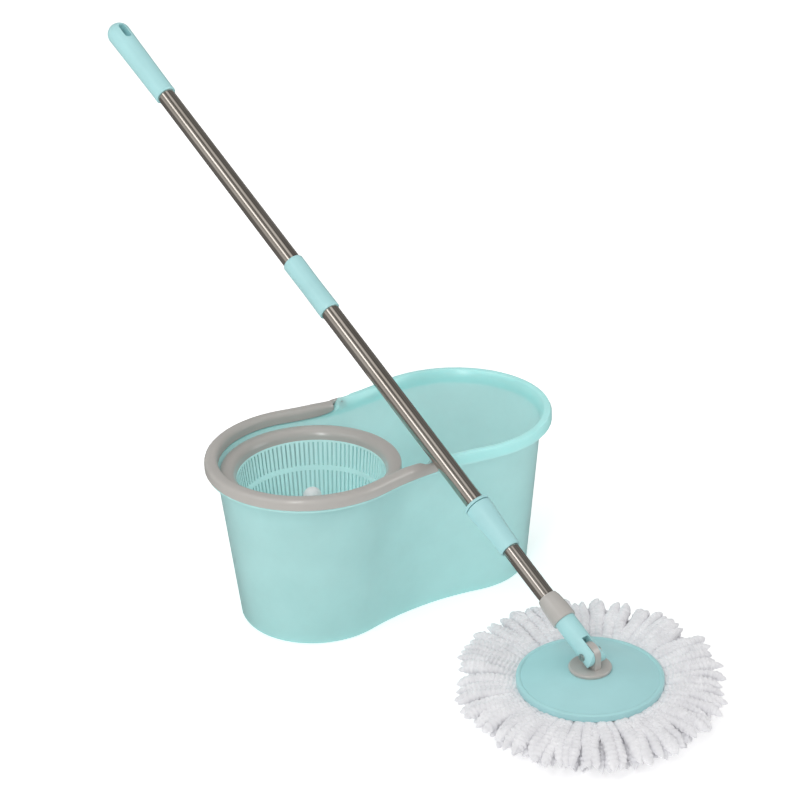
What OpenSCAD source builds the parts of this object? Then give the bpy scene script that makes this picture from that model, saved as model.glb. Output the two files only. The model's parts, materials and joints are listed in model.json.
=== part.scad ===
// Spin mop: a two-lobed bucket with a spin basket and a carrying handle, and a mop that leans on its rim.
// Origin: centre of the bucket's base on the floor. +X to the wash lobe, -X to the spin lobe, +Z up.

/* [Bucket] */
// Height of the rolled rim above the floor
bucket_h = 204.6; // [190:0.2:220]
// Distance of each lobe's centre from the middle
lobe_x = 98.2; // [92:0.2:104]
// Radius of the spin lobe at the rim
spin_lobe_r = 121.5; // [118:0.5:126]
// Radius of the wash lobe at the rim
wash_lobe_r = 119.4; // [116:0.5:124]
// Radius of the concave waist between the lobes
waist_r = 291; // [240:1:340]
// How far the wall stands in from the rim at the top
wall_top_in = 11.3; // [10:0.1:12.5]
// How far the wall stands in from the rim at the floor
wall_base_in = 31.8; // [28:0.2:36]
// Thickness of the moulded wall
wall_t = 1.8; // [1.6:0.1:2]
// Height of the rim band and of the handle that lies in it
band_h = 13.6; // [12:0.2:14]

/* [Carrying handle] */
// Width of the handle's band
bail_w = 15.4; // [12:0.2:15.6]
// Thickness of the tabs at its pivots
bail_tab_t = 5; // [4:0.2:5.2]
// Radius of its pivot pins
bail_pin_r = 4; // [3:0.2:4.4]

/* [Spin basket] */
// Distance of the basket's axis from the middle
basket_x = 97.5; // [97:0.1:98]
// Outer radius of the grey ring
ring_r = 104.8; // [103:0.1:105]
// Inner radius of the grey ring's lower edge
ring_mouth_r = 86.4; // [85:0.1:88]
// Height of the grey ring's lower edge
ring_z = 176; // [174:0.5:177]
// Height of the basket's floor
basket_floor_z = 88; // [84:1:92]
// Number of slots round the wall in each tier
wall_slots = 96; // [60:4:100]
// Number of slots in the floor
floor_slots = 24; // [12:4:28]
// Radius of the spindle
spindle_r = 4; // [3:0.5:5]
// Radius of the domed centre post
post_r = 11; // [10:0.5:12]
// Height of the top of the centre post
post_top_z = 156; // [150:1:160]

/* [Mop head] */
// Sideways place of the head's centre
head_x = 26.7; // [20:0.1:34]
// Distance of the head's centre in front of the bucket's middle
head_y = 369.1; // [368.5:0.1:420]
// Radius of the head plate
plate_r = 80; // [76:1:84]
// Height of the plate's upper edge
plate_z = 47.6; // [46:0.2:49]
// Radius of the ring of strands
strand_r = 150; // [140:1:155]
// Heading of the side where the strands lie lowest
low_heading = 234; // [0:1:359]
// Radius of the hub's flange
flange_r = 23.5; // [22:0.5:26]
// Height of the tilt joint's pin
hinge_z = 75.1; // [74:0.1:77]

/* [Pole] */
// Heading of the leaning pole, from +X towards +Y
pole_heading = 95.1; // [94:0.1:96]
// Angle of the leaning pole above the floor
pole_rise = 29.1; // [28.9:0.1:31]
// Radius of the middle and upper tubes
tube_r = 11; // [10.5:0.1:11]
// Radius of the lower tube
lower_tube_r = 9.5; // [9:0.1:9.6]
// Wall of the tubes
tube_t = 0.8; // [0.6:0.1:0.9]
// Length of one turn of the twisted rod
rod_lead = 120; // [100:5:160]
// Distance from the tilt pin to the end of the grip
pole_end = 1036; // [1000:1:1080]

/* [Hidden] */
$fn = 96;
eps = 0.01;
run = 0.05;                       // radial clearance of a running fit
teal = "#a6d8d8";
grey = "#b0aba5";
steel = "#b8b5b0";
white = "#eef0f2";
nylon = "#e6e4dc";

// The rim's outline is four arcs: two lobes and two waist arcs, whose centres are at (waist_x, +-waist_y)
reach_l = spin_lobe_r + waist_r;
reach_r = wash_lobe_r + waist_r;
waist_x = (reach_l * reach_l - reach_r * reach_r) / (4 * lobe_x);
waist_y = sqrt(reach_l * reach_l - (waist_x + lobe_x) * (waist_x + lobe_x));
waist_half = waist_y - waist_r;
angle_l = atan2(waist_y, waist_x + lobe_x);
angle_r = atan2(waist_y, waist_x - lobe_x);
lobe_steps = 32;
waist_steps = 28;

function arc(cx, cy, r, from, to, steps) =
    [for (i = [0 : steps - 1]) let (t = from + (to - from) * i / steps) [cx + r * cos(t), cy + r * sin(t)]];
function outline(in) = concat(
    arc(-lobe_x, 0, spin_lobe_r - in, angle_l, 360 - angle_l, lobe_steps),
    arc(waist_x, -waist_y, waist_r + in, 180 - angle_l, 180 - angle_r, waist_steps),
    arc(lobe_x, 0, wash_lobe_r - in, -angle_r, angle_r, lobe_steps),
    arc(waist_x, waist_y, waist_r + in, 180 + angle_r, 180 + angle_l, waist_steps));
function wall_in(z) = wall_top_in + (wall_base_in - wall_top_in) * (bucket_h - z) / bucket_h;
function share(x, from, to) = min(1, max(0, (x - from) / (to - from)));
function ramp(x, from, to) = let (t = share(x, from, to)) t * t * (3 - 2 * t);
function round_off(x, from, to) = 1 - sqrt(1 - pow(share(x, from, to), 2));

floor_t = 3;
ledge_z = bucket_h - band_h - 0.4;
wall_stop_z = ledge_z - 4;
bail_z = bucket_h - band_h / 2;
bail_low_z = bucket_h - band_h;
bail_stop_x = waist_x - 9;        // end of the full band beside each pivot
bail_rise_from_x = waist_x - 38;  // from here to the stop the band's inner half rounds off from below
bail_rise = band_h - 6.6;
bail_drop = 1.4;                  // how far the band's top comes down beside the pivots, to clear the pole
bail_tab_r = band_h / 2;
bail_bore_in = 11;                // the pivots' blind bores end this far in from the rim's outline
lip_from_x = waist_x + bail_tab_r + 0.8;
lip_to_x = lip_from_x + 7;

// Sections of the shell as [inset, height], on the ledge side and on the lip side: from the base's edge,
// up the outside, over the rim and down the inside to the floor. The wall part is the same on both sides.
skin = [
    [wall_in(0) + 4, 0], [wall_in(0) + 1.2, 1.2], [wall_in(4), 4],
    [wall_in(wall_stop_z), wall_stop_z]];
ledge_edge = [[3, ledge_z - 3], [1.8, ledge_z - 2], [1.8, ledge_z], [bail_tab_t + 0.4, ledge_z]];
lip_edge = [[3, ledge_z], [0, ledge_z + 0.6], [0, bucket_h - 4.6], [1.6, bucket_h - 1.2]];
ledge_top = [
    [bail_tab_t + 0.8, ledge_z], [wall_in(ledge_z) + 0.6, ledge_z],
    [wall_in(ledge_z) + wall_t, ledge_z - 0.8]];
lip_top = [[bail_tab_t + 0.6, bucket_h], [9, bucket_h - 0.8], [wall_in(ledge_z) + 0.4, bucket_h - 5.5]];
lining = [
    [wall_in(wall_stop_z) + wall_t, wall_stop_z], [wall_in(9) + wall_t, 9],
    [wall_in(4) + wall_t + 2, 4.2], [wall_in(floor_t) + wall_t + 6, floor_t]];

function mix(a, b, t) = [for (i = [0 : len(a) - 1]) a[i] + (b[i] - a[i]) * t];
function edge_weight(x) = ramp(x, lip_from_x, lip_to_x);
function top_weight(x) =
    0.5 * round_off(x, bail_rise_from_x, bail_stop_x) + 0.5 * ramp(x, bail_stop_x + 1, bail_stop_x + 5);
function shell_section(x) = concat(
    skin,
    mix(ledge_edge, lip_edge, edge_weight(x)),
    mix(ledge_top, lip_top, top_weight(x)),
    lining);

// The handle's section at x: its outer part is the tab, and its inner part thins and then ends beside
// the pivot
function bail_width(x) = bail_w - (bail_w - bail_tab_t - 0.4) * ramp(x, bail_stop_x - 5, bail_stop_x);
function bail_inner_z(x) = bail_low_z + 0.6 + bail_rise * round_off(x, bail_rise_from_x, bail_stop_x);
function bail_top_z(x) = bucket_h - bail_drop * ramp(x, bail_rise_from_x, bail_stop_x);
function bail_section(x) =
    let (w = bail_width(x), z = bail_inner_z(x), r = min(5, w / 2 - 0.2), c = min(1, (w - bail_tab_t) / 2))
    let (bend_z = bail_top_z(x) - r) concat(
        [[1.2, bail_low_z], [0, bail_low_z + 1.2]],
        [for (k = [0 : 3]) [r - r * cos(30 * k), bend_z + r * sin(30 * k)]],
        [for (k = [3 : -1 : 0]) [w - r + r * cos(30 * k), bend_z + r * sin(30 * k)]],
        [[w, z + c], [w - c, z], [bail_tab_t, z]],
        [[bail_tab_t, bail_low_z + 0.3], [bail_tab_t - 0.3, bail_low_z]]);

// Points of one section placed on the rim's outline, whose inset direction comes from two offset outlines
function placed(section, a, b) =
    [for (p = section) [a[0] + (b[0] - a[0]) * p[0], a[1] + (b[1] - a[1]) * p[0], p[1]]];
// Faces of a sweep: loop when the path closes on itself, tube when the section does
function side_faces(rings, points, loop, tube) = let (total = rings * points) [
    for (i = [0 : rings - (loop ? 1 : 2)], k = [0 : points - (tube ? 1 : 2)])
        let (j = (k + 1) % points, near = i * points, far = (near + points) % total)
            [near + k, near + j, far + j, far + k]];

rim_0 = outline(0);
rim_1 = outline(1);
shell_n = len(rim_0);
shell_m = len(shell_section(0));
shell_points = [for (i = [0 : shell_n - 1]) each placed(shell_section(rim_0[i][0]), rim_0[i], rim_1[i])];
shell_faces = concat(
    side_faces(shell_n, shell_m, true, false),
    [[for (i = [0 : shell_n - 1]) i * shell_m]],
    [[for (i = [shell_n - 1 : -1 : 0]) i * shell_m + shell_m - 1]]);

// The tab's round end, past the pivot: dx is how far past, and the section's height follows a circle
function tab_point(dx, in, side) =
    [waist_x + dx, side * (waist_y - sqrt((waist_r + in) * (waist_r + in) - dx * dx))];
tab_end = [for (k = [0 : 4]) bail_tab_r * cos(18 * k)];
function tab_height(x) = x <= waist_x ? 1 : max(0.25, sqrt(max(0, 1 - pow((x - waist_x) / bail_tab_r, 2))));
function bail_path(in) = concat(
    [for (dx = tab_end) tab_point(dx, in, 1)],
    arc(waist_x, waist_y, waist_r + in, 270, 180 + angle_l, waist_steps),
    arc(-lobe_x, 0, spin_lobe_r - in, angle_l, 360 - angle_l, lobe_steps),
    arc(waist_x, -waist_y, waist_r + in, 180 - angle_l, 90, waist_steps),
    [tab_point(0, in, -1)],
    [for (k = [4 : -1 : 0]) tab_point(tab_end[k], in, -1)]);
bail_0 = bail_path(0);
bail_1 = bail_path(1);
bail_n = len(bail_0);
bail_m = len(bail_section(0));
function flattened(section, h) = [for (p = section) [p[0], bail_z + (p[1] - bail_z) * h]];
bail_points = [
    for (i = [0 : bail_n - 1]) let (x = bail_0[i][0])
        each placed(flattened(bail_section(x), tab_height(x)), bail_0[i], bail_1[i])];
bail_faces = concat(
    side_faces(bail_n, bail_m, false, true),
    [[for (k = [bail_m - 1 : -1 : 0]) k]],
    [[for (k = [0 : bail_m - 1]) (bail_n - 1) * bail_m + k]]);

// Basket axle
pedestal_top_z = 70;
pedestal_r = 15;
spindle_from_z = 20;
spindle_to_z = 118;
washer_t = 2;
hub_from_z = pedestal_top_z + washer_t + 0.3;
hub_to_z = 112;
hub_r = 9;
bush_r = 6;
clip_z = hub_to_z + 1.6;

// Basket wall
basket_t = 2;
basket_top_r = ring_mouth_r + basket_t;
basket_base_r = basket_top_r - 9;
flange_out_r = ring_r - 4;
tier_gap_z = 141;

// Mop head
plate_top_z = plate_z + 9.4;
plate_under_z = plate_top_z - 3;
flange_z = plate_top_z;
flange_t = 4.2;
socket_r = post_r + 0.4;
socket_wall = 2.2;
screw_ring_r = 18;
tongue_r = 13;
tongue_t = 8;
pin_r = 3;

// Pole, as distances from the tilt pin
fork_r = 12;
fork_end = 12.6;
slot_w = tongue_t + 0.8;
slot_top = 16;
collar_from = 46.6;
collar_to = 79.5;
lower_from = 60;
lower_to = 480;
sleeve_from = 149.5;
sleeve_to = 212.4;
ring_to = 217;
sleeve_base_r = 12.4;
sleeve_top_r = 15.4;
stem_from = 170;
stem_r = 12;
middle_from = 190;
collet_from = 161;
joint_at = 568;
joiner_from = 521;
joiner_to = 604;
joiner_r = 13;
grip_from = 903;
grip_base_r = 13.7;
grip_top_r = 15.1;
upper_to = 990;
rod_from = 275;
rod_to = 552;
rod_w = 8;
rod_t = 2.5;
tube_in_r = tube_r - tube_t;
lower_in_r = lower_tube_r - tube_t;

module ring(r_out, r_in, h) {
    difference() {
        cylinder(r = r_out, h = h);
        translate([0, 0, -eps]) cylinder(r = r_in, h = h + 2 * eps);
    }
}

module at_basket() { translate([-basket_x, 0, 0]) children(); }
module at_head() { translate([head_x, -head_y, 0]) children(); }
// The pole's own frame: origin at the tilt pin, Z up the pole, Y along the pin
module along_pole(t = 0) {
    translate([head_x, -head_y, hinge_z]) rotate([0, 90 - pole_rise, pole_heading])
        translate([0, 0, t]) children();
}

module bucket_shell() {
    color(teal) difference() {
        union() {
            polyhedron(points = shell_points, faces = shell_faces, convexity = 6);
            at_basket() translate([0, 0, floor_t - 1])
                cylinder(r = pedestal_r, h = pedestal_top_z - floor_t + 1);
        }
        at_basket() translate([0, 0, spindle_from_z])
            cylinder(r = spindle_r, h = pedestal_top_z - spindle_from_z + 1);
        for (side = [-1, 1])
            translate([waist_x, side * (waist_half - bail_bore_in), bail_z]) rotate([-side * 90, 0, 0])
                cylinder(r = bail_pin_r + 0.08, h = bail_bore_in + 1);
    }
}

module basket_spindle() {
    color(steel) at_basket() translate([0, 0, spindle_from_z]) difference() {
        cylinder(r = spindle_r, h = spindle_to_z - spindle_from_z);
        translate([0, 0, clip_z - spindle_from_z]) ring(spindle_r + 1, spindle_r - 0.6, 1.3);
    }
}

module thrust_washer() {
    color(nylon) at_basket() translate([0, 0, pedestal_top_z]) ring(hub_r + 1, spindle_r + run, washer_t);
}

module spindle_clip() {
    color(steel) at_basket() translate([0, 0, clip_z + 0.1]) difference() {
        ring(spindle_r + 2.4, spindle_r - 0.55, 1.1);
        translate([0, -2, -1]) cube([10, 4, 4]);
    }
}

module bail_handle() {
    color(grey) {
        polyhedron(points = bail_points, faces = bail_faces, convexity = 6);
        for (side = [-1, 1])
            translate([waist_x, side * (waist_half - 2), bail_z]) rotate([side * 90, 0, 0])
                cylinder(r = bail_pin_r, h = bail_bore_in - 2.4);
    }
}

module basket() {
    wall = [
        [hub_r + 3, basket_floor_z], [basket_base_r - 3, basket_floor_z], [basket_base_r, basket_floor_z + 3],
        [basket_top_r, ring_z - basket_t], [flange_out_r, ring_z - basket_t], [flange_out_r, ring_z],
        [basket_top_r - basket_t, ring_z], [basket_base_r - basket_t, basket_floor_z + 4],
        [basket_base_r - 4, basket_floor_z + basket_t + 0.5], [hub_r + 3, basket_floor_z + basket_t + 0.5]];
    tiers = [[basket_floor_z + 8, tier_gap_z - 3], [tier_gap_z + 3, ring_z - 2.6]];
    slot_half = 1;
    color(teal) at_basket() difference() {
        union() {
            rotate_extrude() polygon(wall);
            translate([0, 0, hub_from_z]) cylinder(r = hub_r, h = hub_to_z - hub_from_z);
            translate([0, 0, hub_from_z + 6]) cylinder(r = hub_r + 3.5, h = basket_floor_z - hub_from_z - 4);
        }
        translate([0, 0, hub_from_z - 1]) cylinder(r = bush_r, h = hub_to_z - hub_from_z + 2);
        for (i = [0 : wall_slots - 1], tier = tiers)
            rotate([0, 0, 360 * (i + 0.5) / wall_slots])
                translate([basket_base_r - 6, -slot_half, tier[0]])
                    cube([20, 2 * slot_half, tier[1] - tier[0]]);
        for (i = [0 : floor_slots - 1])
            rotate([0, 0, 360 * i / floor_slots])
                translate([hub_r + 12, -1.5, basket_floor_z - 1]) cube([basket_base_r - hub_r - 22, 3, 5]);
    }
}

module basket_ring() {
    lip_z = ring_z + 11;
    section = [
        [flange_out_r + 0.1, ring_z - 3], [ring_r - 1, ring_z - 3],
        [ring_r, ring_z - 1.5], [ring_r, lip_z - 1.4],
        [ring_r - 0.6, lip_z - 0.2], [ring_r - 2.4, lip_z + 0.6], [ring_r - 9, lip_z + 0.4],
        [ring_mouth_r + 5.5, lip_z - 1], [ring_mouth_r + 2.2, lip_z - 3.8], [ring_mouth_r, ring_z],
        [flange_out_r + 0.1, ring_z]];
    color(grey) at_basket() rotate_extrude() polygon(section);
}

module basket_bush() {
    color(nylon) at_basket() translate([0, 0, hub_from_z]) difference() {
        union() {
            cylinder(r = bush_r, h = hub_to_z - hub_from_z);
            translate([0, 0, hub_to_z - hub_from_z]) cylinder(r = bush_r + 1.8, h = 1.2);
        }
        translate([0, 0, -1]) cylinder(r = spindle_r + run, h = hub_to_z - hub_from_z + 4);
    }
}

module center_post() {
    foot_z = basket_floor_z + basket_t + 0.5;
    dome_z = post_top_z - post_r + 1;
    color(white) at_basket() difference() {
        union() {
            translate([0, 0, foot_z]) cylinder(r = post_r, h = dome_z - foot_z);
            intersection() {
                translate([0, 0, dome_z]) sphere(r = post_r);
                translate([0, 0, dome_z - eps]) cylinder(r = post_r + 1, h = post_top_z - dome_z + eps);
            }
        }
        translate([0, 0, foot_z - 1]) cylinder(r = hub_r + run, h = hub_to_z - foot_z + 1);
        translate([0, 0, foot_z - 1]) cylinder(r = hub_r - 0.6, h = spindle_to_z + 6 - foot_z);
    }
}

module head_plate() {
    dome = [
        [0, plate_top_z], [flange_r + 1, plate_top_z], [38, plate_top_z - 1.6], [52, plate_top_z - 4.4],
        [64, plate_top_z - 7.2], [plate_r - 5.4, plate_z + 0.2], [plate_r - 4.6, plate_z + 0.9],
        [plate_r - 3.4, plate_z + 1.3], [plate_r - 1.6, plate_z + 1], [plate_r - 0.4, plate_z + 0.2],
        [plate_r, plate_z - 0.8], [plate_r, plate_z - 6.6], [plate_r - 2.4, plate_z - 6.6],
        [plate_r - 2.4, plate_z - 1.6], [64, plate_top_z - 9.4],
        [38, plate_top_z - 4.2], [flange_r + 1, plate_under_z],
        [socket_r + socket_wall, plate_under_z], [socket_r + socket_wall, plate_z - 17],
        [socket_r, plate_z - 17], [socket_r, plate_top_z - 4], [0, plate_top_z - 4]];
    color(teal) at_head() difference() {
        rotate_extrude() polygon(dome);
        for (i = [0 : 2]) rotate([0, 0, 120 * i])
            translate([screw_ring_r, 0, plate_z - 8]) cylinder(r = 2.05, h = 20, $fn = 32);
    }
}

module head_hub() {
    color(grey) at_head() difference() {
        union() {
            rotate_extrude() translate([0, flange_z]) {
                square([flange_r - flange_t / 2, flange_t]);
                square([flange_r - 0.6, flange_t / 2]);
                translate([flange_r - flange_t / 2, flange_t / 2]) circle(d = flange_t, $fn = 32);
            }
            translate([0, 0, hinge_z]) rotate([0, 0, pole_heading]) rotate([90, 0, 0])
                cylinder(r = tongue_r, h = tongue_t, center = true);
            rotate([0, 0, pole_heading]) translate([-tongue_r, -tongue_t / 2, flange_z + 1])
                cube([2 * tongue_r, tongue_t, hinge_z - flange_z - 1]);
        }
        translate([0, 0, hinge_z]) rotate([0, 0, pole_heading]) rotate([90, 0, 0])
            cylinder(r = pin_r + run, h = 30, center = true);
        for (i = [0 : 2]) rotate([0, 0, 120 * i])
            translate([screw_ring_r, 0, flange_z - 1]) cylinder(r = 2.05, h = 4, $fn = 32);
    }
}

module hub_screws() {
    color(steel) at_head() for (i = [0 : 2]) rotate([0, 0, 120 * i]) translate([screw_ring_r, 0, 0]) {
        translate([0, 0, plate_under_z - 1]) cylinder(r = 2, h = plate_top_z - plate_under_z + 3.5, $fn = 32);
        translate([0, 0, plate_under_z - 1.2]) cylinder(r = 3.6, h = 1.2, $fn = 32);
    }
}

module refill_ring() {
    section = [
        [socket_r + socket_wall + 1, plate_z - 16.5], [plate_r - 4, plate_z - 11],
        [plate_r - 4, plate_z - 3.6], [plate_r - 6, plate_z - 3.6],
        [plate_r - 6, plate_z - 8.6], [socket_r + socket_wall + 1, plate_z - 14.2]];
    color(white) at_head() rotate_extrude() polygon(section);
}

// The pile slopes to the floor at low_heading, and stays up on the opposite side
module strands() {
    steps = 60;
    low = [
        [strand_r - 36, 0], [strand_r - 18, 5], [strand_r - 7, 11], [strand_r - 4, 17], [strand_r - 8, 24],
        [strand_r - 26, 33], [strand_r - 48, 38]];
    high = [
        [strand_r - 36, 0], [strand_r - 16, 10], [strand_r - 4, 24], [strand_r, 38], [strand_r - 3, 46],
        [strand_r - 24, 48], [strand_r - 48, 44]];
    root = [
        [plate_r + 6, plate_z - 9], [plate_r - 1, plate_z - 9], [plate_r - 2, plate_z - 12],
        [socket_r + 3, plate_z - 17.5], [socket_r + 3, 0]];
    points = [
        for (i = [0 : steps - 1])
            let (a = 360 * i / steps, w = 0.5 - 0.5 * cos(a - low_heading))
                for (p = concat(mix(low, high, w), root)) [p[0] * cos(a), p[0] * sin(a), p[1]]];
    color(white) at_head()
        polyhedron(
            points = points, faces = side_faces(steps, len(low) + len(root), true, true), convexity = 4);
}

module fork() {
    color(teal) along_pole() difference() {
        union() {
            cylinder(r = fork_r, h = collar_from);
            translate([0, 0, collar_from - eps]) cylinder(r = 10.6, h = 10);
            translate([0, 0, collar_from]) cylinder(r = lower_in_r - run, h = 34);
            intersection() {
                translate([0, 0, -fork_end]) cylinder(r = fork_r, h = fork_end + 1);
                rotate([90, 0, 0]) cylinder(r = fork_end, h = 3 * fork_r, center = true);
            }
        }
        translate([-fork_r - 1, -slot_w / 2, -fork_end - 1])
            cube([2 * fork_r + 2, slot_w, fork_end + 1 + slot_top]);
        rotate([90, 0, 0]) cylinder(r = pin_r, h = 4 * fork_r, center = true);
    }
}

module hinge_pin() {
    color(steel) along_pole() rotate([90, 0, 0]) {
        cylinder(r = pin_r, h = 2 * fork_r + 1, center = true);
        for (side = [-1, 1]) translate([0, 0, side * (fork_r + 0.55)])
            cylinder(r = pin_r + 1.2, h = 1, center = true);
    }
}

module collar() {
    steps = 8;
    length = collar_to - collar_from;
    base_r = 14;
    top_r = 10.4;
    bulge = [
        for (i = [0 : steps]) let (s = i / steps)
            [top_r + (base_r - top_r) * sqrt(1 - s * s * 0.94), length * s]];
    color(grey) along_pole(collar_from) difference() {
        rotate_extrude() polygon(concat(
            [[0, 0], [base_r - 0.8, 0]],
            [for (p = bulge) p[1] == 0 ? [p[0], 0.8] : p],
            [[0, length]]));
        translate([0, 0, -eps]) cylinder(r = 10.6 + run, h = 10.6);
        translate([0, 0, -eps]) cylinder(r = lower_tube_r + run, h = length + 1);
    }
}

module lower_tube() {
    color(steel) along_pole(lower_from) ring(lower_tube_r, lower_in_r, lower_to - lower_from);
}

module ratchet_housing() {
    color(nylon) along_pole(455) difference() {
        union() {
            cylinder(r = lower_in_r - run, h = 25);
            translate([0, 0, 25]) cylinder(r = lower_tube_r, h = 4);
            translate([0, 0, 29]) cylinder(r = 8, h = 8);
        }
        translate([0, 0, -1]) cylinder(r = 5.2, h = 50);
        translate([0, 0, 10]) cylinder(r = 6.6, h = 40);
    }
}

module twist(width, thickness, from, to) {
    translate([0, 0, from]) rotate([0, 0, 360 * from / rod_lead])
        linear_extrude(height = to - from, twist = -360 * (to - from) / rod_lead,
                slices = ceil((to - from) / 4), segments = 8)
            square([width, thickness], center = true);
}

module drive_nut() {
    color(nylon) along_pole() difference() {
        translate([0, 0, 465.5]) cylinder(r = 6.5, h = 16);
        twist(rod_w + 0.8, rod_t + 0.8, 460, 488);
    }
}

module housing_cap() {
    color(nylon) along_pole(492) ring(lower_tube_r, 5.4, 3);
}

module guide_ring() {
    color(white) along_pole(484.4) ring(tube_in_r - run, 8 + run, 7.2);
}

module middle_tube() {
    color(steel) along_pole(middle_from) ring(tube_r, tube_in_r, joint_at - middle_from - 0.2);
}

module upper_tube() {
    color(steel) along_pole(joint_at + 0.2) ring(tube_r, tube_in_r, upper_to - joint_at - 0.2);
}

module mid_sleeve() {
    length = joiner_to - joiner_from;
    section = [
        [tube_r + run, 0], [joiner_r - 0.8, 0], [joiner_r, 1.2],
        [joiner_r - 0.3, length / 2], [joiner_r, length - 1.2],
        [joiner_r - 0.8, length], [tube_r + run, length]];
    color(teal) along_pole(joiner_from) rotate_extrude() polygon(section);
}

module joiner_spigot() {
    color(nylon) along_pole(joint_at - 12) ring(tube_in_r - run, 6, 36);
}

module grip() {
    body = pole_end - grip_from - grip_top_r;
    section = [
        [0, 0], [grip_base_r - 1, 0], [grip_base_r, 1.5],
        [grip_base_r - 0.2, 6], [grip_base_r + 0.4, body * 0.45],
        [grip_top_r, body], [0, body]];
    color(teal) along_pole(grip_from) difference() {
        union() {
            rotate_extrude() polygon(section);
            translate([0, 0, body]) sphere(r = grip_top_r);
        }
        translate([0, 0, -eps]) cylinder(r = tube_r + run, h = upper_to - grip_from + 0.5);
        for (t = [0, 1]) translate([0, 0, body - 16 + 15 * t]) rotate([0, 90, 0])
            cylinder(r = 4.2, h = 60, center = true);
        translate([-30, -4.2, body - 16]) cube([60, 8.4, 15]);
    }
}

module sleeve_core() {
    color(teal) along_pole() difference() {
        union() {
            translate([0, 0, stem_from]) cylinder(r = stem_r, h = sleeve_to - stem_from + 1);
            translate([0, 0, sleeve_to + 0.9])
                cylinder(r = sleeve_top_r + 0.1, h = ring_to - sleeve_to - 1.9);
            translate([0, 0, ring_to - 1 - eps])
                cylinder(r1 = sleeve_top_r + 0.1, r2 = sleeve_top_r - 0.9, h = 1);
        }
        translate([0, 0, stem_from - 1]) cylinder(r = tube_r + run, h = 80);
    }
}

module guide_bush() {
    color(nylon) along_pole() {
        translate([0, 0, middle_from]) ring(tube_in_r - run, lower_tube_r + 0.08, 18);
        translate([0, 0, middle_from - 2]) ring(tube_r - run, lower_tube_r + 0.08, 2);
    }
}

module lock_collet() {
    length = middle_from - 2.2 - collet_from;
    color(nylon) along_pole(collet_from) difference() {
        cylinder(r1 = 10.6, r2 = tube_r, h = length);
        translate([0, 0, -1]) cylinder(r = lower_tube_r + 0.1, h = length + 2);
        for (i = [0 : 2]) rotate([0, 0, 120 * i]) translate([0, -0.6, -1]) cube([20, 1.2, 16]);
    }
}

module twisted_rod() {
    color(steel) along_pole() difference() {
        twist(rod_w, rod_t, rod_from, rod_to);
        translate([0, 0, rod_to - 8]) rotate([90, 0, 360 * (rod_to - 8) / rod_lead])
            cylinder(r = 1.55, h = 20, center = true, $fn = 32);
    }
}

module rod_anchor() {
    color(nylon) along_pole() difference() {
        translate([0, 0, rod_to - 18]) cylinder(r = tube_in_r - run, h = 21);
        twist(rod_w + 0.3, rod_t + 0.3, rod_to - 22, rod_to + 0.1);
        translate([0, 0, rod_to - 8]) rotate([90, 0, 360 * (rod_to - 8) / rod_lead])
            cylinder(r = 1.55, h = 30, center = true, $fn = 32);
    }
}

module rod_pin() {
    color(steel) along_pole(rod_to - 8) rotate([90, 0, 360 * (rod_to - 8) / rod_lead])
        cylinder(r = 1.5, h = 2 * tube_in_r - 1.2, center = true, $fn = 32);
}

module lock_sleeve() {
    section = [
        [sleeve_base_r - 0.8, sleeve_from], [sleeve_base_r, sleeve_from + 1],
        [sleeve_base_r + 0.6, sleeve_from + 22],
        [sleeve_top_r, sleeve_to - 8], [sleeve_top_r, sleeve_to - 0.6], [sleeve_top_r - 0.5, sleeve_to],
        [stem_r + 0.08, sleeve_to], [stem_r + 0.08, stem_from - 0.4], [11.3, stem_from - 0.4],
        [11.3, collet_from - 2], [lower_tube_r + 0.5, collet_from - 3], [lower_tube_r + 0.5, sleeve_from]];
    color(teal) along_pole() rotate_extrude() polygon(section);
}

bucket_shell();
basket_spindle();
thrust_washer();
spindle_clip();
bail_handle();
basket();
basket_ring();
basket_bush();
center_post();
head_plate();
head_hub();
hub_screws();
refill_ring();
strands();
fork();
hinge_pin();
collar();
lower_tube();
ratchet_housing();
drive_nut();
housing_cap();
guide_ring();
middle_tube();
upper_tube();
mid_sleeve();
joiner_spigot();
grip();
sleeve_core();
guide_bush();
lock_collet();
twisted_rod();
rod_anchor();
rod_pin();
lock_sleeve();
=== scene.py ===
"""Looks of the spin mop: materials, the strands, camera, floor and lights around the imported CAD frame.

Metres, in the CAD frame: the origin is the middle of the bucket's base, +X to the wash lobe, +Z up.
"""

import json
import math
import random

import bpy
import numpy as np
from mathutils import Matrix, Vector


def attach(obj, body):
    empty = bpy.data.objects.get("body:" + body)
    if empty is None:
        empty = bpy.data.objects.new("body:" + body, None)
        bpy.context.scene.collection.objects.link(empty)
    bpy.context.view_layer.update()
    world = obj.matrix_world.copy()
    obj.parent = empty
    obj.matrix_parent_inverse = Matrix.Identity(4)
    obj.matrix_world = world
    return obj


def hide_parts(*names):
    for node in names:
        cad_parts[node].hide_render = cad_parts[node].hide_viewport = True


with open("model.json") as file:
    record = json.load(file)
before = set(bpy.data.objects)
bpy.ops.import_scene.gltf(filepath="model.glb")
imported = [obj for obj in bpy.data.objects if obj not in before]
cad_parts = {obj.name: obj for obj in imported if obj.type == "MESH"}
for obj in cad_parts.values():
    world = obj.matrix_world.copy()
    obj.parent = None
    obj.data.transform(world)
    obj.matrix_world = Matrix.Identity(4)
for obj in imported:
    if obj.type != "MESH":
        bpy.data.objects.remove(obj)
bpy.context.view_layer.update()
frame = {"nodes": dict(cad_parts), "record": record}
nodes = frame["nodes"]
scene = bpy.context.scene
rng = random.Random(4)


def direction(heading, rise):
    """The unit vector at these angles in radians: heading from +X towards +Y, rise above the floor."""
    return Vector((
        math.cos(heading) * math.cos(rise),
        math.sin(heading) * math.cos(rise),
        math.sin(rise),
    ))


# The mop head's centre on the floor and the leaning pole's direction
HEAD = Vector((0.0267, -0.3691, 0.0))
POLE = direction(math.radians(95.1), math.radians(29.1))


# ---------------------------------------------------------------- helpers

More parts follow.
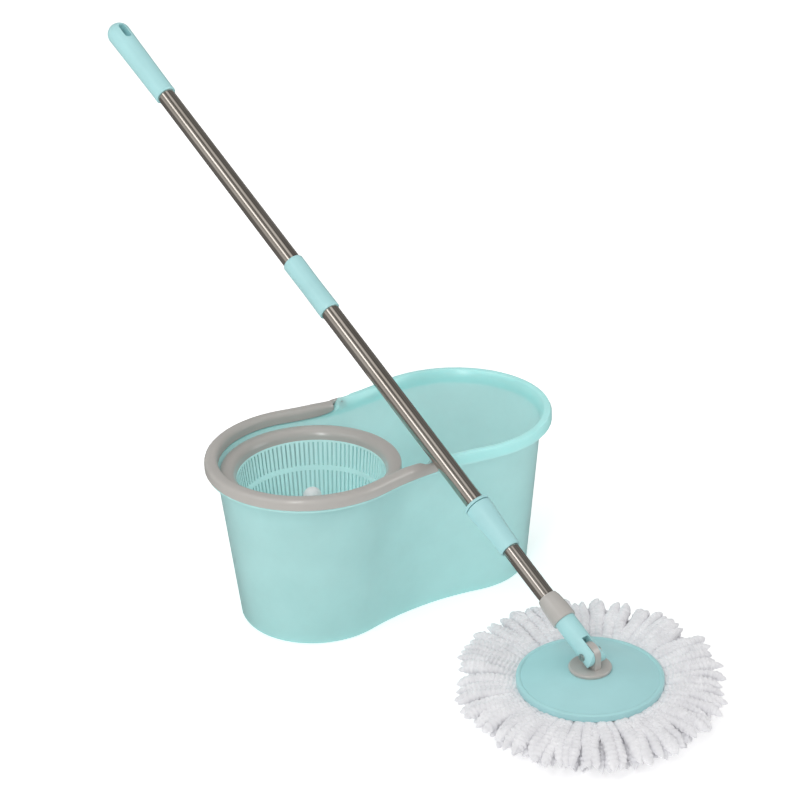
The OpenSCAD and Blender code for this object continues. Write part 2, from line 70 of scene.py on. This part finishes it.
def linear(*rgb):
    """An sRGB colour of 0 to 255 as linear RGBA."""
    parts = [c / 255 for c in rgb]
    return tuple(p / 12.92 if p <= 0.04045 else ((p + 0.055) / 1.055) ** 2.4 for p in parts) + (1.0,)


def shade(colour, factor):
    """A linear RGBA colour made lighter or darker."""
    return tuple(min(1.0, c * factor) for c in colour[:3]) + (1.0,)


class Graph:
    """A short way to add nodes to the tree of one material or world."""

    def __init__(self, owner, shader_type, coords):
        owner.use_nodes = True
        self.owner = owner
        self.tree = owner.node_tree
        self.shader = next(n for n in self.tree.nodes if n.type == shader_type)
        self.coords = self.add("ShaderNodeTexCoord").outputs[coords]

    def add(self, kind, **settings):
        """A new node with its own settings."""
        node = self.tree.nodes.new(kind)
        for key, value in settings.items():
            setattr(node, key, value)
        return node

    def link(self, start, end):
        """A link from one socket to another."""
        self.tree.links.new(start, end)

    def noise(self, scale, detail=2.0, roughness=0.5, coords=None):
        """Cloudy noise, mostly between 0.3 and 0.7."""
        node = self.add("ShaderNodeTexNoise")
        node.inputs["Scale"].default_value = scale
        node.inputs["Detail"].default_value = detail
        node.inputs["Roughness"].default_value = roughness
        self.link(coords or self.coords, node.inputs["Vector"])
        return node.outputs["Fac"]

    def spread(self, value, low, high, from_low=0.3, from_high=0.7):
        """The value mapped to the range from low to high."""
        node = self.add("ShaderNodeMapRange")
        node.inputs["From Min"].default_value = from_low
        node.inputs["From Max"].default_value = from_high
        node.inputs["To Min"].default_value = low
        node.inputs["To Max"].default_value = high
        self.link(value, node.inputs["Value"])
        return node.outputs["Result"]

    def ramp(self, value, stops):
        """The value as a colour between stops of (position, colour)."""
        node = self.add("ShaderNodeValToRGB")
        ramp = node.color_ramp
        while len(ramp.elements) < len(stops):
            ramp.elements.new(0.5)
        for element, (position, colour) in zip(ramp.elements, stops):
            element.position = position
            element.color = colour
        self.link(value, node.inputs["Fac"])
        return node.outputs["Color"]

    def bump(self, height, strength, distance, under=None):
        """A bumped normal, on top of the one under it."""
        node = self.add("ShaderNodeBump")
        node.inputs["Strength"].default_value = strength
        node.inputs["Distance"].default_value = distance
        self.link(height, node.inputs["Height"])
        if under is not None:
            self.link(under, node.inputs["Normal"])
        return node.outputs["Normal"]

    def set(self, **values):
        """Constants on the shader's inputs, with _ for the spaces in their names."""
        for key, value in values.items():
            self.shader.inputs[key.replace("_", " ")].default_value = value

    def feed(self, **sources):
        """Links to the shader's inputs, named as in set."""
        for key, source in sources.items():
            self.link(source, self.shader.inputs[key.replace("_", " ")])


def material_graph(name):
    """A new material, with object coordinates for its patterns."""
    return Graph(bpy.data.materials.new(name), "BSDF_PRINCIPLED", "Object")


# ---------------------------------------------------------------- materials

def plastic(name, colour, roughness, glow=0.0, gloss=0.0):
    """Moulded plastic: faint patches of shade, an uneven sheen and a fine grain.

    Glow is how much light passes in, and gloss the weight of a shiny skin.
    """
    patch = 0.05
    unevenness = 0.04
    g = material_graph(name)
    waves = g.bump(g.noise(26), 0.12, 0.0008)
    grain = g.bump(g.noise(1400), 0.35, 0.00004, under=waves)
    g.feed(
        Base_Color=g.ramp(g.noise(11, detail=4, roughness=0.6), [
            (0.3, shade(colour, 1 - patch)),
            (0.5, colour),
            (0.7, shade(colour, 1 + patch)),
        ]),
        Roughness=g.spread(
            g.noise(34, detail=5, roughness=0.65), roughness - unevenness, roughness + unevenness),
        Normal=grain,
    )
    g.set(
        IOR=1.49,
        Subsurface_Weight=glow,
        Subsurface_Radius=(1.0, 1.0, 1.0),
        Subsurface_Scale=0.015,
        Coat_Weight=gloss,
        Coat_Roughness=0.16,
    )
    return g.owner


def along_pole_coords(g, across, along):
    """Object coordinates turned to the pole, scaled across it and along it."""
    turn = g.add("ShaderNodeMapping")
    turn.inputs["Rotation"].default_value = POLE.to_track_quat("Z", "Y").inverted().to_euler()
    g.link(g.coords, turn.inputs["Vector"])
    stretch = g.add("ShaderNodeMapping")
    stretch.inputs["Scale"].default_value = (across, across, along)
    g.link(turn.outputs["Vector"], stretch.inputs["Vector"])
    return stretch.outputs["Vector"]


def polished_tube(name):
    """Drawn stainless tube: fine lines along its length and faint clouding."""
    g = material_graph(name)
    lines = g.noise(1.0, detail=3, coords=along_pole_coords(g, 2600, 6))
    clouds = g.noise(1.0, detail=4, coords=along_pole_coords(g, 60, 9))
    g.feed(
        Base_Color=g.ramp(clouds, [(0.3, linear(168, 161, 153)), (0.7, linear(196, 190, 183))]),
        Roughness=g.spread(lines, 0.08, 0.18),
        Normal=g.bump(lines, 0.08, 0.00003),
    )
    g.set(Metallic=1.0)
    return g.owner


def bright_steel(name):
    """Turned and rolled steel of the small parts."""
    g = material_graph(name)
    marks = g.noise(700, detail=4)
    g.feed(
        Base_Color=g.ramp(marks, [(0.35, linear(150, 148, 145)), (0.65, linear(188, 186, 182))]),
        Roughness=g.spread(marks, 0.24, 0.42),
        Normal=g.bump(marks, 0.2, 0.00003),
    )
    g.set(Metallic=1.0)
    return g.owner


def microfibre(name):
    """Soft looped yarn: fuzzy white pile with cool shade between the loops."""
    g = material_graph(name)
    fibres = g.noise(1500, detail=3, roughness=0.7)
    loops = g.add("ShaderNodeTexVoronoi")
    loops.inputs["Scale"].default_value = 520
    g.link(g.coords, loops.inputs["Vector"])
    dents = g.bump(loops.outputs["Distance"], 0.25, 0.0005)
    g.feed(
        Base_Color=g.ramp(g.noise(60, detail=4), [
            (0.3, linear(222, 222, 226)),
            (0.7, linear(236, 236, 239)),
        ]),
        Normal=g.bump(fibres, 0.3, 0.0003, under=dents),
    )
    g.set(Roughness=0.95, Sheen_Weight=0.35, Sheen_Roughness=0.5, Specular_IOR_Level=0.15)
    return g.owner


def paper_floor(name):
    """Plain pale studio floor that also glows, more so where it is far from the lamps."""
    g = material_graph(name)
    distance = g.add("ShaderNodeVectorMath", operation="LENGTH")
    g.link(g.coords, distance.inputs[0])
    g.feed(
        Base_Color=g.ramp(g.noise(3), [(0.3, linear(250, 250, 250)), (0.7, linear(253, 253, 253))]),
        Emission_Strength=g.spread(
            distance.outputs["Value"], 0.35, 0.70, from_low=0.8, from_high=4.0),
    )
    g.set(Roughness=0.9, Emission_Color=(1, 1, 1, 1))
    return g.owner


MATERIALS = {
    "tub_plastic": plastic("tub_plastic", linear(172, 228, 227), 0.34, glow=0.5, gloss=0.3),
    "basket_plastic": plastic("basket_plastic", linear(211, 248, 247), 0.36),
    "teal_plastic": plastic("teal_plastic", linear(168, 216, 219), 0.34, gloss=0.3),
    "grey_plastic": plastic("grey_plastic", linear(180, 177, 173), 0.33, gloss=0.7),
    "white_plastic": plastic("white_plastic", linear(226, 231, 232), 0.36, glow=0.2),
    "nylon": plastic("nylon", linear(228, 226, 218), 0.5, glow=0.2),
    "steel_tube": polished_tube("steel_tube"),
    "steel_parts": bright_steel("steel_parts"),
    "strand_yarn": microfibre("strand_yarn"),
}


def finish_cad_nodes():
    """Every CAD node gets its slot's material and smooth faces with crisp edges."""
    slot_of = {part["node"]: part["material_slot"] for part in frame["record"]["subparts"]}
    for name, piece in nodes.items():
        piece.data.materials.clear()
        piece.data.materials.append(MATERIALS[slot_of[name]])
        if piece.data.attributes.get("custom_normal"):
            piece.data.attributes.remove(piece.data.attributes["custom_normal"])
        piece.data.polygons.foreach_set("use_smooth", [True] * len(piece.data.polygons))
        weld = piece.modifiers.new("weld", "WELD")
        weld.merge_threshold = 0.00001
        split = piece.modifiers.new("edges", "EDGE_SPLIT")
        split.split_angle = math.radians(34)


# ---------------------------------------------------------------- strands

STRAND_R = 0.0061
STRAND_SIDES = 12
RING_STEP = 0.00095               # between the rings of a strand's mesh
ROOT_LENGTH = 0.040               # over which a strand swells from its thin root
ROOT_SIZE = 0.74
SWELL_LENGTH = 0.017
LOWEST = 0.0004                   # how close the pile comes to the floor

# The pile slopes to the floor at this heading, and stays up on the opposite side
LOW_HEADING = math.radians(234)
# Layers of strands from the top of the pile down: name, count, and the middle lines of a strand
# where the pile is low and where it stays up, in millimetres from the head's centre and above the
# floor
LAYERS = (
    ("strands_top", 84,
     ((68, 34.5), (84, 37), (100, 37), (117, 34), (130, 28.5), (141, 22)),
     ((68, 34.5), (84, 38.5), (100, 44), (118, 48), (136, 51), (152, 52))),
    ("strands_middle", 76,
     ((60, 27), (82, 30), (98, 29), (112, 24), (122, 18), (129, 12)),
     ((60, 27), (82, 31), (100, 35), (118, 38), (134, 39), (150, 39))),
    ("strands_low", 68,
     ((50, 17), (76, 20), (92, 17), (104, 12), (111, 8.5), (118, 6)),
     ((50, 17), (76, 22), (96, 26), (116, 27), (132, 26), (146, 25))),
    ("strands_floor", 60,
     ((50, 7), (70, 9), (84, 8), (94, 7), (100, 6), (105, 5.6)),
     ((50, 7), (74, 11), (92, 13), (108, 12), (122, 9), (134, 6))),
)


def smooth_path(points, step):
    """Points every step along a Catmull-Rom curve through the given points, and their distances."""
    ends = [2 * points[0] - points[1]] + list(points) + [2 * points[-1] - points[-2]]
    fine = []
    for a, b, c, d in zip(ends, ends[1:], ends[2:], ends[3:]):
        for t in np.linspace(0, 1, 16, endpoint=False):
            fine.append(0.5 * ((2 * b) + (c - a) * t + (2 * a - 5 * b + 4 * c - d) * t ** 2
                               + (3 * b - a - 3 * c + d) * t ** 3))
    fine = np.array(fine + [points[-1]])
    lengths = np.concatenate([[0], np.cumsum(np.linalg.norm(np.diff(fine, axis=0), axis=1))])
    count = max(8, int(lengths[-1] / step))
    at = np.linspace(0, lengths[-1], count)
    return np.stack([np.interp(at, lengths, fine[:, k]) for k in range(3)], axis=1), at


def tube_faces(rings, sides):
    """Faces of a closed tube of rings, with a cap at each end."""
    faces = []
    for i in range(rings - 1):
        for k in range(sides):
            n = (k + 1) % sides
            faces.append((i * sides + k, i * sides + n, (i + 1) * sides + n, (i + 1) * sides + k))
    faces.append(tuple(range(sides - 1, -1, -1)))
    faces.append(tuple((rings - 1) * sides + k for k in range(sides)))
    return faces


def chenille(path, at, radius, pitch):
    """Vertices and faces of one strand of looped yarn: thin at its root, nubby, with a ragged tip.

    Pitch is the distance between the nubs.
    """
    phase = [rng.uniform(0, 2 * math.pi) for _ in range(4)]
    tip_length = rng.uniform(1.6, 3.0) * radius
    tangents = np.gradient(path, axis=0)
    tangents /= np.linalg.norm(tangents, axis=1)[:, None]
    side = np.cross(tangents, (0, 0, 1))
    side /= np.linalg.norm(side, axis=1)[:, None]
    up = np.cross(side, tangents)
    around = np.linspace(0, 2 * math.pi, STRAND_SIDES, endpoint=False)
    root = ROOT_SIZE + (1 - ROOT_SIZE) * np.clip(at / ROOT_LENGTH, 0, 1)
    tip = np.clip((at[-1] - at) / tip_length, 0.01, 1) ** 0.55
    swell = 1 + 0.07 * np.sin(at / SWELL_LENGTH + phase[0])
    wave = math.pi * at[:, None] / pitch
    loops = np.abs(np.cos(wave + phase[1] + 0.6 * np.sin(around + phase[2])))
    nubs = 0.24 * (loops - 0.64) + 0.05 * np.cos(wave + 3 * around + phase[3])
    size = (radius * (root * tip * swell)[:, None] * (1 + nubs))[..., None]
    across = np.cos(around)[None, :, None] * side[:, None, :]
    upward = np.sin(around)[None, :, None] * up[:, None, :]
    rings = path[:, None, :] + size * (across + upward)
    return rings.reshape(-1, 3), tube_faces(len(path), STRAND_SIDES)


def strand_points(heading, low, high):
    """The middle line of one strand that leaves the head at heading, with its own length and bend."""
    raised = 0.5 - 0.5 * math.cos(heading - LOW_HEADING)
    reach = 1 + rng.uniform(-0.09, 0.05)
    bend = rng.gauss(0, 0.03)         # sideways at the tip, in radians
    lift = rng.uniform(-1.4, 1.8)     # upwards at the tip, in millimetres
    root_r, tip_r = low[0][0], high[-1][0]
    points = []
    for (low_r, low_z), (high_r, high_z) in zip(low, high):
        r = low_r + (high_r - low_r) * raised
        z = low_z + (high_z - low_z) * raised
        share = (r - root_r) / (tip_r - root_r)
        out = (root_r + (r - root_r) * reach) / 1000
        turn = heading + bend * share ** 1.5 + rng.gauss(0, 0.0012) / out
        points.append(np.array((
            HEAD.x + out * math.cos(turn),
            HEAD.y + out * math.sin(turn),
            max(STRAND_R * 0.92, (z + lift * share) / 1000),
        )))
    return points


def strand_layer(name, count, low, high, offset):
    """One layer of the pile, as a piece of its own."""
    vertices, faces = [], []
    start = 0
    for i in range(count):
        heading = 2 * math.pi * (i + rng.uniform(-0.25, 0.25) + offset) / count
        path, at = smooth_path(strand_points(heading, low, high), RING_STEP)
        radius = STRAND_R * rng.uniform(0.94, 1.08)
        pitch = rng.uniform(0.0047, 0.0054)
        rings, strand_faces = chenille(path, at, radius, pitch)
        vertices.append(rings)
        faces.extend(tuple(v + start for v in face) for face in strand_faces)
        start += len(rings)
    vertices = np.concatenate(vertices)
    vertices[:, 2] = np.maximum(vertices[:, 2], LOWEST)
    mesh = bpy.data.meshes.new(name)
    mesh.from_pydata(vertices.tolist(), [], faces)
    mesh.polygons.foreach_set("use_smooth", [True] * len(mesh.polygons))
    mesh.materials.append(MATERIALS["strand_yarn"])
    piece = bpy.data.objects.new(name, mesh)
    scene.collection.objects.link(piece)
    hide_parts("strands")
    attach(piece, "mop_head")


def mop_strands():
    """The ring of strands that hangs from under the plate's edge and spreads on the floor."""
    for i, layer in enumerate(LAYERS):
        strand_layer(*layer, 0.5 * i)


# ---------------------------------------------------------------- camera, floor and lights

def camera():
    """A long lens that looks down on the mop from the front left."""
    roll = math.radians(-1.92)
    target = Vector((0.1755, 0.2411, 0.1))
    distance = 2.8641
    back = direction(math.radians(-121.76), math.radians(25.41))
    right = Vector((0, 0, 1)).cross(back).normalized()
    up = back.cross(right)
    turned_right = right * math.cos(roll) + up * math.sin(roll)
    turned_up = up * math.cos(roll) - right * math.sin(roll)
    data = bpy.data.cameras.new("camera")
    data.sensor_width = 36
    data.lens = 98.04
    data.clip_end = 200
    item = bpy.data.objects.new("camera", data)
    scene.collection.objects.link(item)
    axes = Matrix((turned_right, turned_up, back)).transposed()
    item.matrix_world = Matrix.Translation(target + back * distance) @ axes.to_4x4()
    scene.camera = item


def floor():
    """The studio floor, which doesn't show in reflections, so that the tubes get dark edges."""
    size = 40
    mesh = bpy.data.meshes.new("floor")
    corners = [(-size, -size, 0), (size, -size, 0), (size, size, 0), (-size, size, 0)]
    mesh.from_pydata(corners, [], [(0, 1, 2, 3)])
    mesh.materials.append(paper_floor("floor_paper"))
    item = bpy.data.objects.new("floor", mesh)
    scene.collection.objects.link(item)
    item.visible_glossy = False


def area_light(name, place, aim, width, height, power, in_reflections=True):
    """A rectangular lamp at place that points at aim."""
    data = bpy.data.lights.new(name, "AREA")
    data.shape = "RECTANGLE"
    data.size = width
    data.size_y = height
    data.energy = power
    item = bpy.data.objects.new(name, data)
    item.location = place
    item.rotation_euler = (Vector(aim) - Vector(place)).to_track_quat("-Z", "Y").to_euler()
    item.visible_glossy = in_reflections
    scene.collection.objects.link(item)
    return item


def room():
    """A room that is paler on the left, with dark and pale bands overhead that streak the steel."""
    # Brightness of its warm white by height, from 0 straight down to 1 straight up
    stops = (
        (0.49, 0.18), (0.52, 0.50), (0.64, 0.50), (0.80, 0.30),
        (0.93, 0.34), (0.965, 0.17), (0.98, 0.22), (1.0, 1.1),
    )
    world = bpy.data.worlds.new("studio")
    scene.world = world
    g = Graph(world, "BACKGROUND", "Generated")
    split = g.add("ShaderNodeSeparateXYZ")
    g.link(g.coords, split.inputs["Vector"])
    height = g.spread(split.outputs["Z"], 0, 1, from_low=-1, from_high=1)
    g.feed(
        Color=g.ramp(height, [(at, (v, v * 0.985, v * 0.96, 1)) for at, v in stops]),
        Strength=g.spread(split.outputs["X"], 1.5, 0.5, from_low=-1, from_high=1),
    )


def lamps():
    """Soft lamps on both sides and overhead, and one for the insides of the bucket and basket."""
    area_light("key", (-2.6, -2.2, 3.0), (0, 0, 0.1), 0.8, 2.6, 47)
    area_light("fill", (2.8, -2.4, 2.2), (0, 0, 0.1), 2.0, 2.0, 34)
    # Shows as the bright line along the tubes
    area_light("streak", (-2.8, 0.4, 2.95), (0, 0.2, 0.4), 2.2, 0.9, 13)
    area_light("top", (0.2, 0.6, 4.0), (0, 0, 0), 5.0, 5.0, 65, in_reflections=False)
    # Stands for the light that comes through the thin walls
    wells = area_light(
        "wells", (-0.05, -0.6, 1.6), (-0.05, 0, 0.1), 0.5, 0.5, 3.2, in_reflections=False)
    lit = bpy.data.collections.new("lit_by_wells")
    for name in ("bucket_shell", "basket"):
        lit.objects.link(nodes[name])
    wells.light_linking.receiver_collection = lit


finish_cad_nodes()
mop_strands()
camera()
floor()
room()
lamps()
scene.view_settings.view_transform = "Standard"
